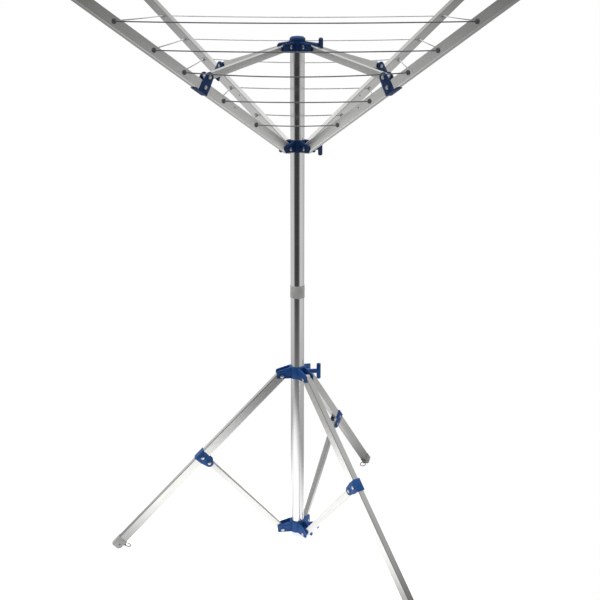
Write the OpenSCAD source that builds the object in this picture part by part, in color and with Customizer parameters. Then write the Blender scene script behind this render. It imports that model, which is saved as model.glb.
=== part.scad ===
// Free-standing folding rotary clothesline: a two-section mast on a folding tripod,
// with four rising arms that carry rings of line. Millimetres, +Z up, origin on the
// floor under the mast axis.

/* [Mast] */
// Outside diameter of both mast tubes
mast_d = 38; // [36:0.5:40]
// Wall of the mast tubes
mast_wall = 1.5; // [1.2:0.1:2]
// Height of the joint between the lower and the upper tube
joint_z = 760; // [750:5:780]
// Height of the upper tube's top end
mast_top_z = 1436; // [1430:1:1450]

/* [Tripod] */
// Height of the leg pins in the sliding hub
leg_root_z = 512.5; // [505:0.5:520]
// Slope of the open legs below the horizontal
leg_slope = 45.8; // [45:0.1:47]
// Distance from a leg's pin to its strut clamp
leg_clamp_s = 333; // [325:1:340]
// Height of the strut pins in the base hub
base_pin_z = 21; // [20:1:24]
// Turn of the tripod about the mast
tripod_turn = 5; // [-10:1:10]

/* [Arms] */
// Height of the arm pins in the sliding hub
arm_root_z = 1161; // [1155:1:1165]
// Rise of the open arms above the horizontal
arm_slope = 31.75; // [30:0.25:33]
// Length of an arm beyond its pin
arm_len = 835; // [800:5:850]
// Distance from an arm's pin to its strut clamp
arm_clamp_s = 336; // [330:1:345]
// Height of the strut pins in the top hub
top_pin_z = 1422; // [1420:1:1424]
// Turn of the arms about the mast
arm_turn = -2; // [-10:1:10]

/* [Line] */
// Diameter of the clothesline
line_d = 3; // [2:0.5:3]

/* [Hidden] */
$fn = 48;
tiny = 0.01;
run_gap = 0.08;  // radial clearance of a sliding or turning fit
fit_gap = 0.05;  // radial clearance of a fixed fit

// Mast tubes and their joint
mast_r = mast_d / 2;
bore_r = mast_r - mast_wall;
joint_lip = 2;                   // flange of the bush between the two tube ends
bush_low = joint_z - 17;
bush_high = joint_z + 18;
bush_wall = 1.3;
spigot_half = 80;
spigot_wall = 2;
hub_wall = 4;
rib_t = 1.2;

// Azimuths of the legs, the arms and the clamp screws; the members stand a little unevenly
legs = [for (a = [183.6, 300, 58.4]) a + tripod_turn];
arms = [for (a = [44.5, 135.25, 227.25, 315.5]) a + arm_turn];
tripod_knob_az = tripod_turn;
arm_knob_az = arm_turn;

// Sections of the legs, arms and struts
bar_depth = 26;
bar_across = 17.8;
bar_round = 2;
bar_wall = 1.2;
strut_depth = 17.6;
strut_across = 14.6;
plug_len = 14;                   // closed end of a tube beyond its pin

// Forks of the hubs and clamps
fork_gap = bar_across + 0.8;
cheek = 3;
fork_outer = fork_gap + 2 * (cheek + rib_t);
pin_d = 6;
rivet_d = 5;
head_d = 9.5;
head_h = 1.8;
leg_pin_r = mast_r + 27;
arm_pin_r = mast_r + 19;
top_pin_r = mast_r + 17;
leg_clamp_n = -26;
arm_clamp_n = 27;
saddle_gap = bar_across + 0.1;
clamp_cheek = 2.2;
lug_wide = 12.5;

// Hub heights below and above the pins
leg_hub_low = 8;
leg_hub_high = 26;
arm_hub_low = 11;
arm_hub_high = 21;
top_hub_low = 12;
top_hub_high = mast_top_z - top_pin_z;

// Feet
leg_len = 698;
foot_from = 676;
foot_end = 708;
foot_skin = 1.4;
lug_s = 688;
lug_n = -16.6;
ring_r = 9;
ring_wire = 2.4;

// Clamp screws
screw_d = 8;
boss_d = 17;
boss_end = mast_r + 14.5;
bar_x = mast_r + 42;
grip_len = 46;
grip_d = 12;
grip_edge = 3;

// Line eyes along each arm, from the pin outward
eye_s = [140, 267, 408, 509, 632, 765];
eye_hole = 7.1;
eye_d = 7;
eye_flange = 11.5;
eye_lip = 1.2;
line_gap = 0.3;

// Where a point along a bar lies: [radius, height]
function on_bar(root_r, root_z, slope, s, n) =
    [root_r + s * cos(slope) - n * sin(slope), root_z + s * sin(slope) + n * cos(slope)];
leg_clamp = on_bar(leg_pin_r, leg_root_z, -leg_slope, leg_clamp_s, leg_clamp_n);
arm_clamp = on_bar(arm_pin_r, arm_root_z, arm_slope, arm_clamp_s, arm_clamp_n);
ring_pin = on_bar(leg_pin_r, leg_root_z, -leg_slope, lug_s, lug_n);
leg_strut_v = leg_clamp - [leg_pin_r, base_pin_z];
arm_strut_v = arm_clamp - [top_pin_r, top_pin_z];
ring_drop = asin((ring_pin[1] - ring_wire / 2 - 0.1) / (2 * ring_r));

// ---- Shared shapes ----

// A tube along Z
module tube(low, high, outer, inner) {
    translate([0, 0, low])
        difference() {
            cylinder(h = high - low, r = outer, $fn = 96);
            translate([0, 0, -1])
                cylinder(h = high - low + 2, r = inner, $fn = 96);
        }
}

// A rectangle with rounded corners, centred
module round_rect(x, y, r) {
    square([x - 2 * r, y], center = true);
    square([x, y - 2 * r], center = true);
    for (i = [-1, 1])
        for (j = [-1, 1])
            translate([i * (x / 2 - r), j * (y / 2 - r)])
                circle(r);
}

// A rounded rectangular bar along X
module bar(from, to, depth, across, r) {
    translate([from, 0, 0])
        rotate([90, 0, 90])
            linear_extrude(to - from)
                round_rect(across, depth, r);
}

// Extrudes a side view drawn in X and Z, centred on Y = off
module side_view(thick, off = 0) {
    translate([0, off + thick / 2, 0])
        rotate([90, 0, 0])
            linear_extrude(thick)
                children();
}

// A hole or pin across the bar, along Y
module across(x, z, d, len, off = 0) {
    translate([x, off + len / 2, z])
        rotate([90, 0, 0])
            cylinder(h = len, d = d);
}

// Places a bar's own frame: X along the bar, Z its upper normal
module on_root(az, root_r, root_z, slope) {
    rotate([0, 0, az])
        translate([root_r, 0, root_z])
            rotate([0, -slope, 0])
                children();
}

module on_leg(k) {
    on_root(legs[k], leg_pin_r, leg_root_z, -leg_slope)
        children();
}

module on_arm(k) {
    on_root(arms[k], arm_pin_r, arm_root_z, arm_slope)
        children();
}

// A rectangular tube with a round closed end at its pin and an open far end
module open_bar(len) {
    difference() {
        intersection() {
            bar(-bar_depth / 2, len, bar_depth, bar_across, bar_round);
            side_view(bar_across + 2) {
                circle(d = bar_depth);
                translate([0, -bar_depth / 2])
                    square([len, bar_depth]);
            }
        }
        bar(plug_len, len + 1, bar_depth - 2 * bar_wall, bar_across - 2 * bar_wall, bar_round / 2);
        across(0, 0, pin_d + 2 * fit_gap, bar_across + 2);
    }
}

// A strut with round closed ends about its two pins
module strut_bar(len) {
    difference() {
        intersection() {
            bar(-strut_depth / 2, len + strut_depth / 2, strut_depth, strut_across, bar_round);
            side_view(strut_across + 2) {
                circle(d = strut_depth);
                translate([0, -strut_depth / 2])
                    square([len, strut_depth]);
                translate([len, 0])
                    circle(d = strut_depth);
            }
        }
        bar(plug_len, len - plug_len, strut_depth - 2 * bar_wall, strut_across - 2 * bar_wall,
            bar_round / 2);
        for (x = [0, len])
            across(x, 0, pin_d + 2 * fit_gap, strut_across + 2);
    }
}

// A low domed rivet head standing on the face at Y = y, facing the sign of y
module rivet_head(x, y, z, d = head_d) {
    translate([x, y, z])
        rotate([y > 0 ? -90 : 90, 0, 0])
            rotate_extrude()
                intersection() {
                    translate([0, head_h - d])
                        circle(d);
                    square([d / 2, head_h]);
                }
}

// A pin right through a fork of the given outer width, with a head on each side
module through_pin(x, z, d, width) {
    into_head = 0.5;
    across(x, z, d, width + 2 * into_head);
    rivet_head(x, width / 2, z);
    rivet_head(x, -width / 2, z);
}

// Two short rivets, one in each cheek of a fork, that leave the gap between them free
module cheek_rivets(x, z, d, width) {
    into_head = 0.5;
    for (side = [-1, 1]) {
        across(x, z, d, cheek + into_head, side * (width - cheek + into_head) / 2);
        rivet_head(x, side * width / 2, z);
    }
}

// ---- Hubs ----

// Side view of a fork cheek: a plate from the ring to tip_r whose top edge falls outward
module cheek_side(low, high, tip_r, tip_low, tip_high, c) {
    polygon([[mast_r + 1, low], [tip_r - c, tip_low], [tip_r, tip_low + c],
        [tip_r, tip_high - c], [tip_r - c, tip_high], [mast_r + hub_wall, high], [mast_r + 1, high]]);
}

// One fork: two cheeks a rim below the ring's ends, each with two ribs and a pad at its pin
module fork(az, low, high, tip_r, tip_low, tip_high, corner, pin_x) {
    rim = 0.6;
    rib_from = mast_r + 2;
    rib_to = tip_r - 2.5;
    rib_w = 2.1;
    rib_edge = 1;
    rotate([0, 0, az])
        for (side = [-1, 1]) {
            side_view(cheek, side * (fork_gap + cheek) / 2)
                cheek_side(low + rim, high - rim, tip_r, tip_low, tip_high, corner);
            side_view(rib_t, side * (fork_gap / 2 + cheek + rib_t / 2)) {
                translate([rib_from, tip_high - rib_w - rib_edge])
                    square([rib_to - rib_from, rib_w]);
                translate([rib_from, tip_low + rib_edge])
                    square([rib_to - rib_from, rib_w]);
                translate([pin_x, 0])
                    circle(d = head_d + 3.5);
            }
        }
}

// The ring of a hub round the mast, with the boss for its clamp screw
module hub_ring(z, low, high, knob_az, knob_z) {
    translate([0, 0, z - low])
        cylinder(h = low + high, r = mast_r + hub_wall, $fn = 96);
    rotate([0, 0, knob_az])
        translate([mast_r + 1, 0, knob_z])
            rotate([0, 90, 0])
                cylinder(h = boss_end - mast_r - 1, d = boss_d);
}

// A whole hub with a fork at each azimuth
module hub(azs, z, low, high, pin_x, tip_r, tip_low, tip_high, corner, knob_az, knob_z, gap) {
    difference() {
        union() {
            hub_ring(z, low, high, knob_az, knob_z);
            translate([0, 0, z])
                for (az = azs)
                    fork(az, -low, high, tip_r, tip_low, tip_high, corner, pin_x);
        }
        translate([0, 0, z - low - 1])
            cylinder(h = low + high + 2, r = mast_r + gap, $fn = 96);
        for (az = azs)
            rotate([0, 0, az])
                across(pin_x, z, pin_d + 2 * fit_gap, fork_gap + 2 * cheek + 4);
        rotate([0, 0, knob_az])
            translate([0, 0, knob_z])
                rotate([0, 90, 0])
                    cylinder(h = boss_end + 1, d = screw_d + 2 * run_gap);
    }
}

// The three-armed hub that both ends of the tripod share
module leg_hub(z, gap) {
    hub(legs, z, leg_hub_low, leg_hub_high, leg_pin_r, leg_pin_r + 15, 1 - leg_hub_low, 15, 3,
        tripod_knob_az, z + leg_hub_low, gap);
}

module base_hub() {
    floor_t = 3;
    color("royalblue") {
        leg_hub(base_pin_z, fit_gap);
        translate([0, 0, base_pin_z - leg_hub_low])
            cylinder(h = floor_t, r = mast_r + 1, $fn = 96);
    }
}

module base_hub_pins() {
    color("silver")
        for (az = legs)
            rotate([0, 0, az])
                through_pin(leg_pin_r, base_pin_z, pin_d, fork_outer);
}

module tripod_hub() {
    color("royalblue")
        leg_hub(leg_root_z, run_gap);
}

module tripod_hub_rivets() {
    color("silver")
        for (az = legs)
            rotate([0, 0, az])
                translate([0, 0, leg_root_z])
                    cheek_rivets(leg_pin_r, 0, pin_d, fork_outer);
}

module arm_hub() {
    color("midnightblue")
        hub(arms, arm_root_z, arm_hub_low, arm_hub_high, arm_pin_r, arm_pin_r + 19, -arm_hub_low + 2, 10,
            4, arm_knob_az, arm_root_z, run_gap);
}

module arm_hub_rivets() {
    color("silver")
        for (az = arms)
            rotate([0, 0, az])
                translate([0, 0, arm_root_z])
                    cheek_rivets(arm_pin_r, 0, pin_d, fork_outer);
}

module top_hub() {
    color("midnightblue")
        hub(arms, top_pin_z, top_hub_low, top_hub_high, top_pin_r, top_pin_r + 26, -top_hub_low + 1, 9, 3,
            arm_knob_az, top_pin_z + 4, fit_gap);
}

module top_hub_pins() {
    color("silver")
        for (az = arms)
            rotate([0, 0, az])
                through_pin(top_pin_r, top_pin_z, pin_d, fork_outer);
}

// A T-handled clamp screw, its grip turned by tilt from upright
module clamp_screw(az, z, tilt) {
    neck_d = 13;
    neck_from = boss_end + 0.5;
    color("midnightblue")
        rotate([0, 0, az])
            translate([0, 0, z])
                rotate([tilt, 0, 0]) {
                    translate([mast_r + 0.2, 0, 0])
                        rotate([0, 90, 0])
                            cylinder(h = bar_x - mast_r, d = screw_d);
                    translate([neck_from, 0, 0])
                        rotate([0, 90, 0])
                            cylinder(h = bar_x - neck_from, d = neck_d);
                    translate([bar_x, 0, 0])
                        rotate_extrude()
                            intersection() {
                                round_rect(grip_d, grip_len, grip_edge);
                                translate([0, -grip_len / 2])
                                    square([grip_d / 2, grip_len]);
                            }
                }
}

module base_knob() {
    clamp_screw(tripod_knob_az, base_pin_z + leg_hub_low, 30);
}

module tripod_knob() {
    clamp_screw(tripod_knob_az, leg_root_z + leg_hub_low, 0);
}

module arm_knob() {
    clamp_screw(arm_knob_az, arm_root_z, 25);
}

module top_knob() {
    clamp_screw(arm_knob_az, top_pin_z + 4, 40);
}

// ---- Mast ----

module lower_pole() {
    hub_floor = base_pin_z - leg_hub_low + 3;
    color("lightgray")
        tube(hub_floor, joint_z - joint_lip / 2, mast_r, bore_r);
}

module joint_bush() {
    color("gray") {
        tube(bush_low, bush_high, mast_r + bush_wall, mast_r + run_gap);
        tube(joint_z - joint_lip / 2 + 0.1, joint_z + joint_lip / 2 - 0.1, mast_r + bush_wall / 2,
            bore_r);
    }
}

module spigot() {
    color("silver")
        tube(joint_z - spigot_half, joint_z + spigot_half, bore_r - run_gap, bore_r - spigot_wall);
}

module upper_pole() {
    color("lightgray")
        tube(joint_z + joint_lip / 2, mast_top_z, mast_r, bore_r);
}

// The cap: a brim, a sloping shoulder up to a nearly flat top, and a plug in the tube's end
module top_cap() {
    brim_r = mast_r + 2;
    plug_h = 15;
    color("midnightblue") {
        translate([0, 0, mast_top_z])
            rotate_extrude($fn = 96)
                polygon([[0, 0], [brim_r, 0], [brim_r, 6], [brim_r - 2, 9.5], [brim_r - 6, 12.5], [0, 14]]);
        translate([0, 0, mast_top_z - plug_h])
            tube(0, plug_h + 1, bore_r - fit_gap, bore_r - 3);
    }
}

// ---- Legs ----

module leg(k) {
    color("lightgray")
        on_leg(k)
            difference() {
                open_bar(leg_len);
                across(leg_clamp_s, 0, rivet_d + 2 * fit_gap, bar_across + 2);
            }
}

// The cheeks of a strut clamp in side view; pin_n is how far off the bar the strut's pin is
module clamp_side(s, pin_n, half) {
    sign = pin_n > 0 ? 1 : -1;
    shoulder = 6;
    translate([s, 0]) {
        polygon([[-half, -sign * (bar_depth / 2 + 2)], [half, -sign * (bar_depth / 2 + 2)],
            [half, sign * shoulder], [lug_wide, pin_n], [-lug_wide, pin_n], [-half, sign * shoulder]]);
        translate([0, pin_n])
            circle(r = lug_wide);
    }
}

// A clamp: two cheeks with pads and a rib, and the web across the bar's far face, which runs
// on past the cheeks towards the bar's outer end
module strut_clamp(s, pin_n, half, run_on) {
    sign = pin_n > 0 ? 1 : -1;
    web_t = 2;
    web_half = saddle_gap / 2 + clamp_cheek + 0.4;
    pad_t = 1;
    rib_n = 9;
    through = 40;
    far = bar_depth / 2 + fit_gap;
    difference() {
        union() {
            for (side = [-1, 1]) {
                side_view(clamp_cheek, side * (saddle_gap + clamp_cheek) / 2)
                    clamp_side(s, pin_n, half);
                side_view(pad_t, side * (saddle_gap / 2 + clamp_cheek + pad_t / 2)) {
                    translate([s - half + 2, -sign * rib_n - 1])
                        square([2 * half - 4, 2]);
                    translate([s, pin_n])
                        circle(d = head_d + 4);
                    translate([s, 0])
                        circle(d = head_d + 4);
                }
            }
            translate([s - half - 1, -web_half, sign > 0 ? -far - web_t : far])
                cube([2 * half + 2 + run_on, 2 * web_half, web_t]);
        }
        across(s, pin_n, pin_d + 2 * fit_gap, through);
        across(s, 0, rivet_d + 2 * fit_gap, through);
    }
}

module clamp_rivets(s, pin_n) {
    width = saddle_gap + 2 * clamp_cheek + 2;
    through_pin(s, pin_n, pin_d, width);
    through_pin(s, 0, rivet_d, width);
}

module leg_clamp(k) {
    color("royalblue")
        on_leg(k)
            strut_clamp(leg_clamp_s, leg_clamp_n, 16.5, 0);
}

module leg_rivets(k) {
    color("silver")
        on_leg(k)
            clamp_rivets(leg_clamp_s, leg_clamp_n);
}

module leg_strut(k) {
    color("lightgray")
        on_root(legs[k], leg_pin_r, base_pin_z, atan2(leg_strut_v[1], leg_strut_v[0]))
            strut_bar(norm(leg_strut_v));
}

// The foot: a square-ended cap whose corner is cut level with the floor, and a lug for its ring
module foot_cap(k) {
    reach = 1000;
    lug_r = 4;
    lug_t = 5;
    color("whitesmoke")
        intersection() {
            on_leg(k)
                difference() {
                    union() {
                        bar(foot_from, foot_end, bar_depth + 2 * foot_skin, bar_across + 2 * foot_skin,
                            bar_round + foot_skin);
                        side_view(lug_t) {
                            translate([lug_s, lug_n])
                                circle(lug_r);
                            translate([lug_s - lug_r, lug_n])
                                square([2 * lug_r, -lug_n - bar_depth / 2]);
                        }
                    }
                    bar(foot_from - 1, leg_len + 1, bar_depth + 2 * fit_gap, bar_across + 2 * fit_gap,
                        bar_round);
                    across(lug_s, lug_n, ring_wire + 1.6, lug_t + 2);
                }
            cylinder(h = leg_root_z, r = reach);
        }
}

// The wire ring for a ground peg, lying from its lug down to the floor
module foot_ring(k) {
    color("silver")
        rotate([0, 0, legs[k]])
            translate([ring_pin[0], 0, ring_pin[1]])
                rotate([0, -ring_drop, 0])
                    translate([-ring_r, 0, 0])
                        rotate_extrude($fn = 64)
                            translate([ring_r, 0])
                                circle(d = ring_wire);
}

// ---- Arms ----

module arm(k) {
    color("silver")
        on_arm(k)
            difference() {
                open_bar(arm_len);
                across(arm_clamp_s, 0, rivet_d + 2 * fit_gap, bar_across + 2);
                for (s = eye_s)
                    across(s, 0, eye_hole, bar_across + 2);
            }
}

module arm_clamp(k) {
    color("midnightblue")
        on_arm(k)
            strut_clamp(arm_clamp_s, arm_clamp_n, 14, 9);
}

module arm_rivets(k) {
    color("silver")
        on_arm(k)
            clamp_rivets(arm_clamp_s, arm_clamp_n);
}

module arm_strut(k) {
    color("silver")
        on_root(arms[k], top_pin_r, top_pin_z, atan2(arm_strut_v[1], arm_strut_v[0]))
            strut_bar(norm(arm_strut_v));
}

module line_eyes(k) {
    color("dimgray")
        on_arm(k)
            for (s = eye_s)
                difference() {
                    union() {
                        across(s, 0, eye_d, bar_across + 2 * eye_lip);
                        for (side = [-1, 1])
                            across(s, 0, eye_flange, eye_lip, side * (bar_across + eye_lip) / 2);
                    }
                    across(s, 0, line_d + 0.4, bar_across + 4);
                }
}

// A tube along flat points at one height, mitred at each turn, with 8 sides
function side_of(a, b) = [-(b - a)[1], (b - a)[0]] / norm(b - a);
function mitre(p, i) =
    i == 0 ? side_of(p[0], p[1])
    : i == len(p) - 1 ? side_of(p[i - 1], p[i])
    : let (m = side_of(p[i - 1], p[i]) + side_of(p[i], p[i + 1])) 2 * m / (m * m);

module line_tube(p, z, d) {
    sides = 8;
    n = len(p);
    points = [for (i = [0:n - 1])
        let (m = mitre(p, i))
        for (j = [0:sides - 1])
            let (a = 360 * j / sides)
            [p[i][0] + m[0] * d / 2 * cos(a), p[i][1] + m[1] * d / 2 * cos(a), z + d / 2 * sin(a)]];
    walls = [for (i = [0:n - 2])
        for (j = [0:sides - 1])
            let (a = i * sides + j, b = i * sides + (j + 1) % sides)
            [a, b, b + sides, a + sides]];
    first = [for (j = [0:sides - 1]) sides - 1 - j];
    last = [for (j = [0:sides - 1]) (n - 1) * sides + j];
    polyhedron(points, concat([first], walls, [last]), convexity = 4);
}

// Where the line leaves arm k's eye at radius r, on the side towards its neighbour
function ray(az) = [cos(az), sin(az)];
function eye_mouth(k, r, side) =
    r * ray(arms[k]) + side * (bar_across / 2 + eye_lip + 2) * ray(arms[k] + 90);

// Where arm k's half of the run to that neighbour ends, just short of the middle
function half_end(k, r, side) =
    let (from = eye_mouth(k, r, side), to = eye_mouth((k + side + 4) % 4, r, -side))
    (from + to) / 2 - line_gap * (to - from) / norm(to - from);

// Half of each ring's run on both sides of arm k, through the arm's eye
module clothesline(k) {
    color("gray")
        for (s = eye_s) {
            at = on_bar(arm_pin_r, arm_root_z, arm_slope, s, 0);
            line_tube([half_end(k, at[0], -1), eye_mouth(k, at[0], -1), eye_mouth(k, at[0], 1),
                half_end(k, at[0], 1)], at[1], line_d);
        }
}

lower_pole();
joint_bush();
spigot();
base_hub();
base_hub_pins();
base_knob();
tripod_hub();
tripod_hub_rivets();
tripod_knob();
for (k = [1:3]) {
    leg(k - 1);
    leg_clamp(k - 1);
    leg_rivets(k - 1);
    leg_strut(k - 1);
    foot_cap(k - 1);
    foot_ring(k - 1);
}
upper_pole();
top_cap();
top_hub();
top_hub_pins();
top_knob();
arm_hub();
arm_hub_rivets();
arm_knob();
for (k = [1:4]) {
    arm(k - 1);
    arm_clamp(k - 1);
    arm_rivets(k - 1);
    arm_strut(k - 1);
    line_eyes(k - 1);
    clothesline(k - 1);
}
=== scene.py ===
"""The look of a folding rotary clothesline, built round its CAD frame. Metres, +Z up."""
import math

import bmesh
import bpy
from mathutils import Matrix, Vector


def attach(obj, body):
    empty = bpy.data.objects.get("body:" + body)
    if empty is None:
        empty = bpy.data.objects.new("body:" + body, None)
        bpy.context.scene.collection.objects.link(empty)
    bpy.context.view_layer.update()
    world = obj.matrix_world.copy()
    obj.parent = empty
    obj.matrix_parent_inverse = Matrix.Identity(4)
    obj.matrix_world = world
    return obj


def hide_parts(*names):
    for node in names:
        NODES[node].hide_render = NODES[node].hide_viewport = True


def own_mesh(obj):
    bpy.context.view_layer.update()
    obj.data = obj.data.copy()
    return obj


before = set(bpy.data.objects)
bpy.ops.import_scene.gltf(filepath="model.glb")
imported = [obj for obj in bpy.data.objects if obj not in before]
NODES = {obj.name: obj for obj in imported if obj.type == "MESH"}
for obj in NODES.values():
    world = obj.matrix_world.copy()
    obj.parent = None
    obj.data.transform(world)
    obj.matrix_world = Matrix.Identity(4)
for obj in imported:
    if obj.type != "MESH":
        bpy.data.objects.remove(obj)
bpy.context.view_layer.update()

LEGS = (1, 2, 3)
ARMS = (1, 2, 3, 4)

# The open pose of the CAD frame, in degrees and metres
LEG_TURN = [188.6, 305, 63.4]
LEG_SLOPE = -45.8
LEG_STRUT_SLOPE = 47.7
LEG_ROOT_R = 0.046
LEG_ROOT_Z = 0.5125
LEG_LEN = 0.698
ARM_TURN = [42.5, 133.25, 225.25, 313.5]
ARM_SLOPE = 31.75
ARM_STRUT_SLOPE = -12.6
ARM_ROOT_R = 0.038
ARM_ROOT_Z = 1.161
ARM_LEN = 0.835
ARM_DEEP = 0.026
ARM_WIDE = 0.0178
ARM_WALL = 0.0012
EYE_S = [0.140, 0.267, 0.408, 0.509, 0.632, 0.765]
EYE_LIP = 0.0012
EYE_CLEAR = 0.0008
DOME_RIVET_S = 0.226
FOOT_PIN_S = 0.694
LINE_D = 0.003


# ---- Node helpers ----

def add_node(tree, kind, **settings):
    """A new node of this kind, with its settings given by name."""
    node = tree.nodes.new(kind)
    for name, value in settings.items():
        setattr(node, name, value)
    return node


def start_material(name, colour, metallic, roughness):
    """A new material and its Principled shader, with the even values set on the shader."""
    material = bpy.data.materials.new(name)
    material.use_nodes = True
    shader = material.node_tree.nodes["Principled BSDF"]
    shader.inputs["Base Color"].default_value = (*colour, 1)
    shader.inputs["Metallic"].default_value = metallic
    shader.inputs["Roughness"].default_value = roughness
    return material, material.node_tree, shader


def object_space(tree, turn, scale):
    """Object coordinates turned so that X runs along the piece, then scaled per axis."""
    coords = add_node(tree, "ShaderNodeTexCoord")
    turned = add_node(tree, "ShaderNodeMapping", vector_type="TEXTURE")
    turned.inputs["Rotation"].default_value = turn
    scaled = add_node(tree, "ShaderNodeMapping")
    scaled.inputs["Scale"].default_value = scale
    tree.links.new(coords.outputs["Object"], turned.inputs["Vector"])
    tree.links.new(turned.outputs["Vector"], scaled.inputs["Vector"])
    return scaled.outputs["Vector"]


def plain_space(tree):
    """Object coordinates as they are, in metres."""
    return object_space(tree, (0, 0, 0), (1, 1, 1))


def noise(tree, vector, scale, detail=3, rough=0.55, distortion=0):
    """A noise value between 0 and 1."""
    node = add_node(tree, "ShaderNodeTexNoise")
    node.inputs["Scale"].default_value = scale
    node.inputs["Detail"].default_value = detail
    node.inputs["Roughness"].default_value = rough
    node.inputs["Distortion"].default_value = distortion
    tree.links.new(vector, node.inputs["Vector"])
    return node.outputs["Fac"]


def ramp(tree, value, stops):
    """A colour ramp from (place, grey or colour) pairs."""
    node = add_node(tree, "ShaderNodeValToRGB")
    band = node.color_ramp
    while len(band.elements) < len(stops):
        band.elements.new(0.5)
    for element, (place, colour) in zip(band.elements, stops):
        element.position = place
        element.color = (*colour, 1) if isinstance(colour, tuple) else (colour, colour, colour, 1)
    tree.links.new(value, node.inputs["Fac"])
    return node.outputs["Color"]


def span(tree, value, low, high):
    """0 where the value is low and 1 where it is high, held at both ends."""
    node = add_node(tree, "ShaderNodeMapRange")
    node.inputs["From Min"].default_value = low
    node.inputs["From Max"].default_value = high
    tree.links.new(value, node.inputs["Value"])
    return node.outputs["Result"]


def mix(tree, factor, a, b, blend="MIX"):
    """Two colours mixed; factor, a and b are each a value or a socket."""
    node = add_node(tree, "ShaderNodeMix", data_type="RGBA", blend_type=blend)
    # A colour mix takes its factor in socket 0 and its colours in sockets 6 and 7
    for socket, value in ((node.inputs[0], factor), (node.inputs[6], a), (node.inputs[7], b)):
        if isinstance(value, bpy.types.NodeSocket):
            tree.links.new(value, socket)
        elif isinstance(value, tuple):
            socket.default_value = (*value, 1)
        else:
            socket.default_value = value
    return node.outputs[2]


def bump(tree, shader, height, strength, distance):
    """Raises the shader's surface by a height socket; distance is in metres."""
    node = add_node(tree, "ShaderNodeBump")
    node.inputs["Strength"].default_value = strength
    node.inputs["Distance"].default_value = distance
    tree.links.new(height, node.inputs["Height"])
    tree.links.new(node.outputs["Normal"], shader.inputs["Normal"])


# ---- Materials ----

def along(turn_deg, slope_deg):
    """The turn that lays X along a bar of this azimuth and slope."""
    turn = Matrix.Rotation(math.radians(turn_deg), 3, "Z")
    slope = Matrix.Rotation(math.radians(-slope_deg), 3, "Y")
    return tuple((turn @ slope).to_euler())


def lengthwise(tree, turn, start, length):
    """0 at the start of a piece and 1 at its end; start is where it lies along its own line."""
    straight = object_space(tree, turn, (1, 1, 1))
    parts = add_node(tree, "ShaderNodeSeparateXYZ")
    tree.links.new(straight, parts.inputs["Vector"])
    return span(tree, parts.outputs["X"], start, start + length)


def bar_material(name, turn_deg, slope_deg, grey_and_painted_shade_stops, start=0.0, length=1.0):
    """Satin anodised aluminium with the fine lengthwise lines of a drawn section.

    The grey stops are (place, grey) pairs from the start of the bar to its end; on arms and legs
    they fall off as painted shade, on struts they stay even."""
    material, tree, shader = start_material(name, BAR_TINT, 1.0, 0.36)
    turn = along(turn_deg, slope_deg)
    drawn = noise(tree, object_space(tree, turn, (4, 900, 900)), 1.0, 4, 0.6)
    patches = noise(tree, object_space(tree, turn, (6, 25, 25)), 1.0, 3, 0.6)
    scuffs = noise(tree, object_space(tree, turn, (160, 50, 50)), 1.0, 5, 0.75, 1.5)
    # Painted shade: the grey changes along the bar, darker towards the arm tips and towards the leg
    # root and foot
    tone = ramp(tree, lengthwise(tree, turn, start, length), grey_and_painted_shade_stops)
    tone = mix(tree, 1.0, tone, BAR_TINT, "MULTIPLY")
    cloudy = ramp(tree, patches, [(0.3, 0.90), (0.7, 1.07)])
    fine = ramp(tree, drawn, [(0.35, 0.90), (0.65, 1.07)])
    shade = mix(tree, 1.0, tone, mix(tree, 0.25, cloudy, fine), "MULTIPLY")
    marks = ramp(tree, scuffs, [(0.66, 0.0), (0.74, 1.0)])
    worn = mix(tree, 1.0, tone, (0.72, 0.72, 0.72), "MULTIPLY")
    tree.links.new(mix(tree, marks, shade, worn), shader.inputs["Base Color"])
    rough = ramp(tree, drawn, [(0.3, 0.24), (0.7, 0.34)])
    tree.links.new(mix(tree, marks, rough, (0.55, 0.55, 0.55)), shader.inputs["Roughness"])
    bump(tree, shader, drawn, 0.12, 0.0002)
    return material


def mast_material(name, tone):
    """Brighter polished tube: drawn lines up the tube and faint rings where the hub slides."""
    material, tree, shader = start_material(name, (tone, tone, tone), 1.0, 0.14)
    drawn = noise(tree, object_space(tree, (0, 0, 0), (700, 700, 3)), 1.0, 3, 0.6)
    rings = noise(tree, object_space(tree, (0, 0, 0), (3, 3, 420)), 1.0, 4, 0.7)
    patches = noise(tree, object_space(tree, (0, 0, 0), (18, 18, 5)), 1.0, 2, 0.5)
    low = (tone * 0.93, tone * 0.93, tone * 0.93)
    high = (tone * 1.05, tone * 1.05, tone * 1.05)
    tree.links.new(ramp(tree, patches, [(0.3, low), (0.7, high)]), shader.inputs["Base Color"])
    worn = ramp(tree, rings, [(0.42, 0.11), (0.72, 0.19)])
    rough = mix(tree, 0.35, worn, ramp(tree, drawn, [(0.3, 0.09), (0.7, 0.21)]))
    tree.links.new(rough, shader.inputs["Roughness"])
    bump(tree, shader, drawn, 0.06, 0.0002)
    return material


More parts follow.
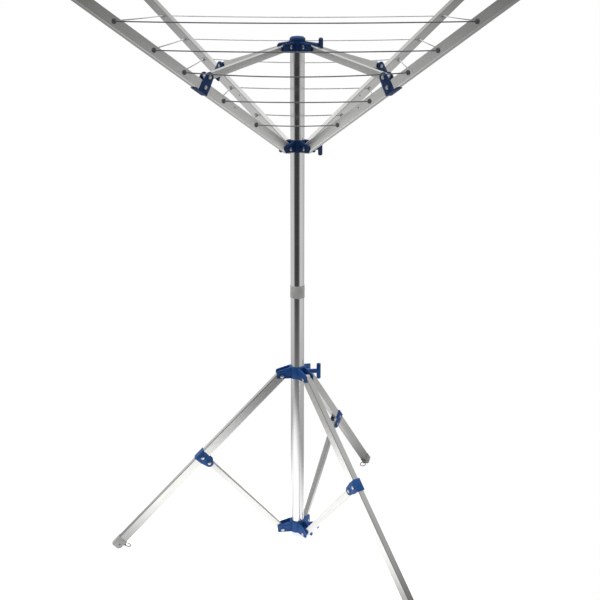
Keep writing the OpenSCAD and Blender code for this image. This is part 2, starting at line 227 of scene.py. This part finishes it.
def plastic_material(name, colour, roughness, gloss=0.3):
    """Moulded plastic: an eroded-die grain, slow colour drift and paler scuffs."""
    material, tree, shader = start_material(name, colour, 0.0, roughness)
    shader.inputs["Specular IOR Level"].default_value = gloss
    plain = plain_space(tree)
    grain = noise(tree, plain, 1400, 2, 0.5)
    drift = noise(tree, plain, 28, 3, 0.6)
    scuffs = noise(tree, plain, 210, 5, 0.8, 0.8)
    low = tuple(0.82 * c for c in colour)
    high = tuple(min(1, 1.16 * c) for c in colour)
    scuffed = tuple(min(1, 1.5 * c + 0.02) for c in colour)
    clean = ramp(tree, drift, [(0.3, low), (0.7, high)])
    marks = ramp(tree, scuffs, [(0.64, 0.0), (0.72, 0.6)])
    tree.links.new(mix(tree, marks, clean, scuffed), shader.inputs["Base Color"])
    rough = ramp(tree, drift, [(0.3, roughness - 0.05), (0.7, roughness + 0.07)])
    tree.links.new(mix(tree, marks, rough, (0.6, 0.6, 0.6)), shader.inputs["Roughness"])
    bump(tree, shader, grain, 0.18, 0.00025)
    return material


def rivet_material():
    """Turned aluminium rivets, faintly oxidised."""
    material, tree, shader = start_material("rivet_aluminium", (0.62, 0.62, 0.61), 1.0, 0.3)
    spots = noise(tree, plain_space(tree), 320, 4, 0.7)
    shade = ramp(tree, spots, [(0.35, (0.44, 0.44, 0.43)), (0.6, (0.68, 0.68, 0.67))])
    tree.links.new(shade, shader.inputs["Base Color"])
    rough = ramp(tree, spots, [(0.3, 0.42), (0.7, 0.24)])
    tree.links.new(rough, shader.inputs["Roughness"])
    bump(tree, shader, spots, 0.15, 0.0002)
    return material


def ring_material():
    """Dull, darkened zinc-plated steel wire."""
    material, tree, shader = start_material("ring_steel", (0.15, 0.15, 0.148), 1.0, 0.38)
    bloom = noise(tree, plain_space(tree), 260, 4, 0.65)
    shade = ramp(tree, bloom, [(0.3, (0.07, 0.07, 0.068)), (0.7, (0.20, 0.20, 0.195))])
    tree.links.new(shade, shader.inputs["Base Color"])
    tree.links.new(ramp(tree, bloom, [(0.3, 0.5), (0.7, 0.3)]), shader.inputs["Roughness"])
    bump(tree, shader, bloom, 0.2, 0.0002)
    return material


def line_material():
    """Grey plastic-coated line with a fine lay, darker towards the front and paler towards the back.
    """
    material, tree, shader = start_material("coated_line", (0.20, 0.21, 0.22), 0.0, 0.42)
    plain = plain_space(tree)
    lay = noise(tree, plain, 650, 2, 0.5)
    drift = noise(tree, plain, 14, 3, 0.6)
    # The line's grey runs from darker at the front (-Y) to paler at the back (+Y)
    paler_to_back = lengthwise(tree, (0, 0, math.radians(90)), -0.25, 0.55)
    dark = ramp(tree, drift, [(0.3, (0.11, 0.12, 0.125)), (0.7, (0.17, 0.18, 0.19))])
    pale = ramp(tree, drift, [(0.3, (0.52, 0.53, 0.53)), (0.7, (0.62, 0.63, 0.63))])
    tree.links.new(mix(tree, paler_to_back, dark, pale), shader.inputs["Base Color"])
    tree.links.new(ramp(tree, lay, [(0.3, 0.36), (0.7, 0.52)]), shader.inputs["Roughness"])
    bump(tree, shader, lay, 0.35, 0.0003)
    return material


MAST = mast_material("mast_aluminium", 0.74)
NAVY = plastic_material("navy_plastic", (0.009, 0.040, 0.140), 0.45)
BLUE = plastic_material("blue_plastic", (0.016, 0.095, 0.33), 0.45)
GREY = plastic_material("grey_plastic", (0.60, 0.61, 0.585), 0.45)
PALE = plastic_material("pale_plastic", (0.43, 0.435, 0.42), 0.42)
EYE = plastic_material("eye_plastic", (0.12, 0.125, 0.12), 0.40)
PALE_EYE = plastic_material("pale_eye_plastic", (0.46, 0.47, 0.46), 0.45)
PLUG = plastic_material("plug_plastic", (0.055, 0.058, 0.06), 0.45)
RIVET = rivet_material()
RING = ring_material()
LINE = line_material()

# Bars: a faint warm tint, and grey stops from each bar's root to its end. The arm and leg stops are
# painted shade: arms darker towards the tips, legs darker at the root and towards the foot; the
# struts stay even.
BAR_TINT = (1.0, 1.0, 0.975)
LEG_GREY_AND_PAINTED_SHADE = [(0.0, 0.64), (0.45, 0.80), (0.74, 0.70), (0.96, 0.36)]
ARM_GREY_AND_PAINTED_SHADE = [(0.0, 0.90), (0.5, 0.66), (1.0, 0.31)]
STRUT_TONES = [(0.0, 0.70), (1.0, 0.70)]


# ---- Pieces ----

def paint(obj, material):
    """The object's only material."""
    obj.data.materials.clear()
    obj.data.materials.append(material)
    return obj


def new_piece(name, mesh, body, material):
    """A new object on a CAD body, with its finish."""
    obj = bpy.data.objects.new(name, mesh)
    bpy.context.scene.collection.objects.link(obj)
    paint(obj, material)
    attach(obj, body)
    return obj


def apply_modifiers(obj):
    """The object's mesh replaced by what its modifiers make of it."""
    bpy.context.view_layer.update()
    graph = bpy.context.evaluated_depsgraph_get()
    mesh = bpy.data.meshes.new_from_object(obj.evaluated_get(graph))
    obj.modifiers.clear()
    obj.data = mesh


def moulded(node, body, material, rounding=0.0005):
    """A copy of a CAD node with the small rounds of a moulding on all its sharp edges."""
    mesh = NODES[node].data.copy()
    work = bmesh.new()
    work.from_mesh(mesh)
    bmesh.ops.remove_doubles(work, verts=work.verts, dist=2e-6)
    bmesh.ops.dissolve_limit(work, angle_limit=math.radians(0.6), verts=work.verts, edges=work.edges)
    work.to_mesh(mesh)
    work.free()
    obj = new_piece(node + "_look", mesh, body, material)
    rounds = obj.modifiers.new("rounds", "BEVEL")
    rounds.width = rounding
    rounds.segments = 2
    rounds.limit_method = "ANGLE"
    rounds.angle_limit = math.radians(32)
    rounds.use_clamp_overlap = True
    rounds.harden_normals = False
    apply_modifiers(obj)
    obj.data.set_sharp_from_angle(angle=math.radians(38))
    for face in obj.data.polygons:
        face.use_smooth = True
    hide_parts(node)
    return obj


def loft(name, rings, transform=None):
    """A closed mesh through rings of points, with flat ends."""
    work = bmesh.new()
    made = [[work.verts.new(point) for point in ring] for ring in rings]
    for first, second in zip(made, made[1:]):
        count = len(first)
        for j in range(count):
            k = (j + 1) % count
            face = work.faces.new((first[j], first[k], second[k], second[j]))
            face.smooth = True
    work.faces.new(list(reversed(made[0])))
    work.faces.new(made[-1])
    bmesh.ops.recalc_face_normals(work, faces=work.faces)
    if transform is not None:
        work.transform(transform)
    mesh = bpy.data.meshes.new(name)
    work.to_mesh(mesh)
    work.free()
    return mesh


def swept_tube(points, radius, sides=10):
    """A closed round tube along points."""
    rings = []
    last = len(points) - 1
    for i, point in enumerate(points):
        forward = (points[min(i + 1, last)] - points[max(i - 1, 0)]).normalized()
        side = forward.cross(Vector((0, 0, 1))).normalized()
        up = side.cross(forward).normalized()
        ring = []
        for j in range(sides):
            angle = 2 * math.pi * j / sides
            ring.append(point + radius * (math.cos(angle) * side + math.sin(angle) * up))
        rings.append(ring)
    return loft("tube", rings)


# ---- The line ----

# The drop of each ring at the middle of a side, and the sides that are pulled taut
LINE_SAG = [0.003, 0.003, 0.010, 0.004, 0.004, 0.005]
TAUT = 0.25
TAUT_SIDES = ({2, 3}, {1, 4})


def eye_place(s):
    """Radius and height of a line eye at s along an arm."""
    slope = math.radians(ARM_SLOPE)
    return ARM_ROOT_R + s * math.cos(slope), ARM_ROOT_Z + s * math.sin(slope)


def eye_mouth(k, radius, side):
    """Where the line leaves arm k's eye, seen from above."""
    turn = math.radians(ARM_TURN[k - 1])
    out = Vector((math.cos(turn), math.sin(turn), 0))
    across = Vector((-math.sin(turn), math.cos(turn), 0))
    return radius * out + side * (ARM_WIDE / 2 + EYE_LIP + EYE_CLEAR) * across


def half_line(k, ring, side):
    """Half of one side of a ring: from arm k's eye to the middle between two arms."""
    radius, height = eye_place(EYE_S[ring])
    up = Vector((0, 0, height))
    neighbour = (k - 1 + side) % len(ARMS) + 1
    exit_point = eye_mouth(k, radius, side) + up
    middle = (eye_mouth(k, radius, side) + eye_mouth(neighbour, radius, -side)) / 2 + up
    inside = (eye_mouth(k, radius, 1) + eye_mouth(k, radius, -1)) / 2 + up
    sag = LINE_SAG[ring] * (TAUT if {k, neighbour} in TAUT_SIDES else 1)
    points = [inside, inside.lerp(exit_point, 0.7)]
    steps = 14
    for i in range(steps + 1):
        t = i / steps
        drop = sag * (1 - (1 - t) ** 2)
        points.append(exit_point.lerp(middle, t) - Vector((0, 0, drop)))
    mesh = swept_tube(points, LINE_D / 2)
    way = "a" if side > 0 else "b"
    obj = new_piece(f"line_{ring + 1}_arm_{k}{way}", mesh, f"arm_{k}", LINE)
    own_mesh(obj)
    return obj


def build_line():
    """Every ring, as two half sides on each arm; they stand in for the CAD line."""
    for k in ARMS:
        for ring in range(len(EYE_S)):
            for side in (1, -1):
                half_line(k, ring, side)
        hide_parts(f"clothesline_{k}")


# ---- Finishes on the CAD nodes and the moulded parts ----

def finish_mast():
    """The polished tubes."""
    for node in ("lower_pole", "upper_pole", "spigot"):
        paint(NODES[node], MAST)


def bar_start(radius, height, slope_deg):
    """Where a bar starts, measured along its own line."""
    slope = math.radians(slope_deg)
    return radius * math.cos(slope) + height * math.sin(slope)


def finish_bars():
    """Legs, arms and their struts, each with its own grain direction."""
    leg_start = bar_start(LEG_ROOT_R, LEG_ROOT_Z, LEG_SLOPE)
    for k in LEGS:
        turn = LEG_TURN[k - 1]
        name = f"leg_{k}_aluminium"
        paint(NODES[f"leg_{k}"], bar_material(name, turn, LEG_SLOPE, LEG_GREY_AND_PAINTED_SHADE, leg_start, LEG_LEN))
        name = f"leg_strut_{k}_aluminium"
        paint(NODES[f"leg_strut_{k}"], bar_material(name, turn, LEG_STRUT_SLOPE, STRUT_TONES))
    arm_start = bar_start(ARM_ROOT_R, ARM_ROOT_Z, ARM_SLOPE)
    for k in ARMS:
        turn = ARM_TURN[k - 1]
        name = f"arm_{k}_aluminium"
        paint(NODES[f"arm_{k}"], bar_material(name, turn, ARM_SLOPE, ARM_GREY_AND_PAINTED_SHADE, arm_start, ARM_LEN))
        name = f"arm_strut_{k}_aluminium"
        paint(NODES[f"arm_strut_{k}"], bar_material(name, turn, ARM_STRUT_SLOPE, STRUT_TONES))


def finish_small_metal():
    """Pins, rivets, wire rings and line eyes; the far arms' eyes are paler."""
    for node in ("base_hub_pins", "tripod_hub_rivets", "top_hub_pins", "arm_hub_rivets"):
        paint(NODES[node], RIVET)
    for k in LEGS:
        paint(NODES[f"leg_rivets_{k}"], RIVET)
        paint(NODES[f"foot_ring_{k}"], RING)
    for k in ARMS:
        paint(NODES[f"arm_rivets_{k}"], RIVET)
        paint(NODES[f"line_eyes_{k}"], PALE_EYE if k < 3 else EYE)


def build_mouldings():
    """The plastic parts, each in place of its CAD node."""
    moulded("base_hub", "lower_mast", BLUE)
    moulded("base_knob", "base_knob", BLUE)
    moulded("tripod_hub", "tripod_slider", BLUE)
    moulded("tripod_knob", "tripod_knob", BLUE)
    moulded("joint_bush", "joint_sleeve", GREY, 0.00025)
    moulded("top_cap", "upper_mast", NAVY)
    moulded("top_hub", "upper_mast", NAVY)
    moulded("top_knob", "top_knob", NAVY)
    moulded("arm_hub", "arm_slider", NAVY)
    moulded("arm_knob", "arm_knob", NAVY)
    for k in LEGS:
        moulded(f"leg_clamp_{k}", f"leg_{k}", BLUE)
        moulded(f"foot_cap_{k}", f"leg_{k}", PALE)
    for k in ARMS:
        moulded(f"arm_clamp_{k}", f"arm_{k}", NAVY)


def plug_outline(wide, deep, corner, steps=5):
    """A rectangle with rounded corners, as points round its edge."""
    points = []
    for turn, (y, z) in enumerate(((1, 1), (-1, 1), (-1, -1), (1, -1))):
        for i in range(steps + 1):
            angle = math.radians(90 * (turn + i / steps))
            y_at = y * (wide / 2 - corner) + corner * math.cos(angle)
            z_at = z * (deep / 2 - corner) + corner * math.sin(angle)
            points.append((y_at, z_at))
    return points


def on_bar(turn_deg, slope_deg, radius, height, s, n=0.0):
    """The place at s along a bar and n above its middle line: X runs along it and Y across."""
    turn = Matrix.Rotation(math.radians(turn_deg), 4, "Z")
    root = Matrix.Translation((radius, 0, height))
    tilt = Matrix.Rotation(math.radians(-slope_deg), 4, "Y")
    return turn @ root @ tilt @ Matrix.Translation((s, 0, n))


def on_arm(k, s, n=0.0):
    """A place on arm k, as in on_bar."""
    return on_bar(ARM_TURN[k - 1], ARM_SLOPE, ARM_ROOT_R, ARM_ROOT_Z, s, n)


def on_leg(k, s, n=0.0):
    """A place on leg k, as in on_bar."""
    return on_bar(LEG_TURN[k - 1], LEG_SLOPE, LEG_ROOT_R, LEG_ROOT_Z, s, n)


def end_plug(k):
    """The moulded plug in an arm's open end: a body in the tube and a domed rounded face."""
    corner = 0.002
    fit = -ARM_WALL - 0.0003
    sections = [(-0.014, fit), (0.0, fit), (0.0, 0.0), (0.0012, 0.0),
                (0.0021, -0.0005), (0.0026, -0.0016), (0.0028, -0.0040)]
    rings = []
    for place, grow in sections:
        round_off = max(0.0008, corner + min(0, grow))
        outline = plug_outline(ARM_WIDE + 2 * grow, ARM_DEEP + 2 * grow, round_off)
        rings.append([(place, y, z) for y, z in outline])
    mesh = loft("end_plug", rings, on_arm(k, ARM_LEN))
    mesh.set_sharp_from_angle(angle=math.radians(50))
    new_piece(f"arm_end_plug_{k}", mesh, f"arm_{k}", PLUG)


def dome_rivet(name, body, material, place, face, head, sides=16, steps=4):
    """A small rivet through a bar, with a dome on each side face."""
    dome = []
    for i in range(steps + 1):
        angle = math.radians(4 + 86 * i / steps)
        dome.append((face + 0.4 * head * math.cos(angle), head * math.sin(angle)))
    half = dome + [(face, 0.45 * head)]
    profile = half + [(-across, radius) for across, radius in reversed(half)]
    rings = []
    for across, radius in profile:
        ring = []
        for j in range(sides):
            angle = 2 * math.pi * j / sides
            ring.append((radius * math.cos(angle), across, radius * math.sin(angle)))
        rings.append(ring)
    mesh = loft(name, rings, place)
    mesh.set_sharp_from_angle(angle=math.radians(50))
    new_piece(name, mesh, body, material)


def arm_dome_rivet(k):
    """The rivet between an arm's first two eyes."""
    place = on_arm(k, DOME_RIVET_S, 0.004)
    dome_rivet(f"arm_dome_rivet_{k}", f"arm_{k}", RIVET, place, ARM_WIDE / 2, 0.003)


def foot_pin(k):
    """The dark pin that holds a foot cap in its leg."""
    place = on_leg(k, FOOT_PIN_S, -0.003)
    cap = NODES[f"foot_cap_{k}"]
    to_leg = place.inverted() @ cap.matrix_world
    face = max(abs((to_leg @ corner.co).y) for corner in cap.data.vertices)
    dome_rivet(f"foot_pin_{k}", f"leg_{k}", RING, place, face, 0.0026)


# ---- Stage ----

CAMERA_PLACE = (0, -2.6394, 1.5358)
CAMERA_TILT = 16.894
CAMERA_LENS = 59.07
CAMERA_SHIFT = 0.0043
FLOOR_RADIUS = 1.3
FLOOR_DROP = 0.0005
FLOOR_MIDDLE = (-0.22, -0.25, 0)
FLOOR_GLOW = 0.78
LIGHT_PLACE = (-0.3, 0.2, 3.4)
LIGHT_SIZE = 3.2
LIGHT_WATTS = 70


def build_camera():
    """A view from the front at the height of the arms, looking slightly down."""
    data = bpy.data.cameras.new("camera")
    camera = bpy.data.objects.new("camera", data)
    bpy.context.scene.collection.objects.link(camera)
    camera.location = CAMERA_PLACE
    camera.rotation_euler = (math.radians(90 - CAMERA_TILT), 0, 0)
    data.sensor_width = 36
    data.lens = CAMERA_LENS
    data.shift_x = CAMERA_SHIFT
    data.clip_end = 50
    bpy.context.scene.camera = camera


def build_floor():
    """A round white floor that fades out into the background."""
    work = bmesh.new()
    bmesh.ops.create_circle(work, cap_ends=True, radius=FLOOR_RADIUS, segments=96)
    mesh = bpy.data.meshes.new("floor")
    work.to_mesh(mesh)
    work.free()
    floor = bpy.data.objects.new("floor", mesh)
    floor.location = (0, 0, -FLOOR_DROP)
    bpy.context.scene.collection.objects.link(floor)
    material, tree, shader = start_material("floor_paper", (0.7, 0.7, 0.7), 0.0, 0.9)
    shader.inputs["Specular IOR Level"].default_value = 0.1
    tooth = noise(tree, plain_space(tree), 90, 3, 0.6)
    pale = ramp(tree, tooth, [(0.3, (0.69, 0.69, 0.69)), (0.7, (0.71, 0.71, 0.71))])
    tree.links.new(pale, shader.inputs["Base Color"])
    coords = add_node(tree, "ShaderNodeTexCoord")
    reach = add_node(tree, "ShaderNodeVectorMath", operation="DISTANCE")
    tree.links.new(coords.outputs["Object"], reach.inputs[0])
    reach.inputs[1].default_value = FLOOR_MIDDLE
    fade = ramp(tree, reach.outputs["Value"], [(0.32, 1.0), (0.80, 0.0)])
    tree.links.new(fade, shader.inputs["Alpha"])
    shader.inputs["Emission Color"].default_value = (1, 1, 1, 1)
    shader.inputs["Emission Strength"].default_value = FLOOR_GLOW
    paint(floor, material)


def build_light():
    """One wide soft lamp overhead, aimed at the base."""
    data = bpy.data.lights.new("overhead", "AREA")
    data.shape = "DISK"
    data.size = LIGHT_SIZE
    data.energy = LIGHT_WATTS
    light = bpy.data.objects.new("overhead", data)
    light.location = LIGHT_PLACE
    light.visible_glossy = False
    light.rotation_euler = (-Vector(LIGHT_PLACE)).to_track_quat("-Z", "Y").to_euler()
    bpy.context.scene.collection.objects.link(light)


def build_world():
    """A small studio: bright low down and behind the object, dark behind the camera.

    The camera itself sees plain white."""
    world = bpy.data.worlds.new("studio")
    bpy.context.scene.world = world
    world.use_nodes = True
    tree = world.node_tree
    back = tree.nodes["Background"]
    coords = add_node(tree, "ShaderNodeTexCoord")
    parts = add_node(tree, "ShaderNodeSeparateXYZ")
    tree.links.new(coords.outputs["Generated"], parts.inputs["Vector"])
    front = add_node(tree, "ShaderNodeVectorMath", operation="DOT_PRODUCT")
    tree.links.new(coords.outputs["Generated"], front.inputs[0])
    front.inputs[1].default_value = (-0.17, -0.985, 0)
    depth = span(tree, parts.outputs["Y"], -1, 1)
    upper = ramp(tree, depth, [(0.0, 0.04), (0.33, 0.11), (0.5, 0.33), (0.58, 0.62), (1.0, 0.72)])
    facing = span(tree, front.outputs["Value"], -1, 1)
    middle = ramp(tree, facing, [(0.0, 0.40), (0.075, 0.45), (0.325, 0.78), (0.43, 0.62),
                                 (0.65, 0.78), (0.78, 0.66), (0.90, 0.10), (0.94, 0.05)])
    deep = ramp(tree, facing, [(0.0, 0.45), (0.8, 0.45), (1.0, 0.30)])
    steep = span(tree, parts.outputs["Z"], -0.42, -0.30)
    lower = mix(tree, steep, deep, middle)
    horizon = span(tree, parts.outputs["Z"], -0.05, 0.0)
    glow = mix(tree, horizon, lower, upper)
    ceiling = ramp(tree, parts.outputs["Z"], [(0.25, 0.0), (0.9, 0.35)])
    glow = mix(tree, 1.0, glow, ceiling, "ADD")
    path = add_node(tree, "ShaderNodeLightPath")
    seen = mix(tree, path.outputs["Is Camera Ray"], glow, (1, 1, 1))
    tree.links.new(seen, back.inputs["Color"])
    back.inputs["Strength"].default_value = 1.0


def build_stage():
    """Camera, floor, studio and lamp."""
    build_camera()
    build_floor()
    build_world()
    build_light()
    bpy.context.scene.view_settings.view_transform = "Standard"


build_stage()
finish_mast()
finish_bars()
finish_small_metal()
build_mouldings()
build_line()
for arm in ARMS:
    end_plug(arm)
    arm_dome_rivet(arm)
for leg in LEGS:
    foot_pin(leg)
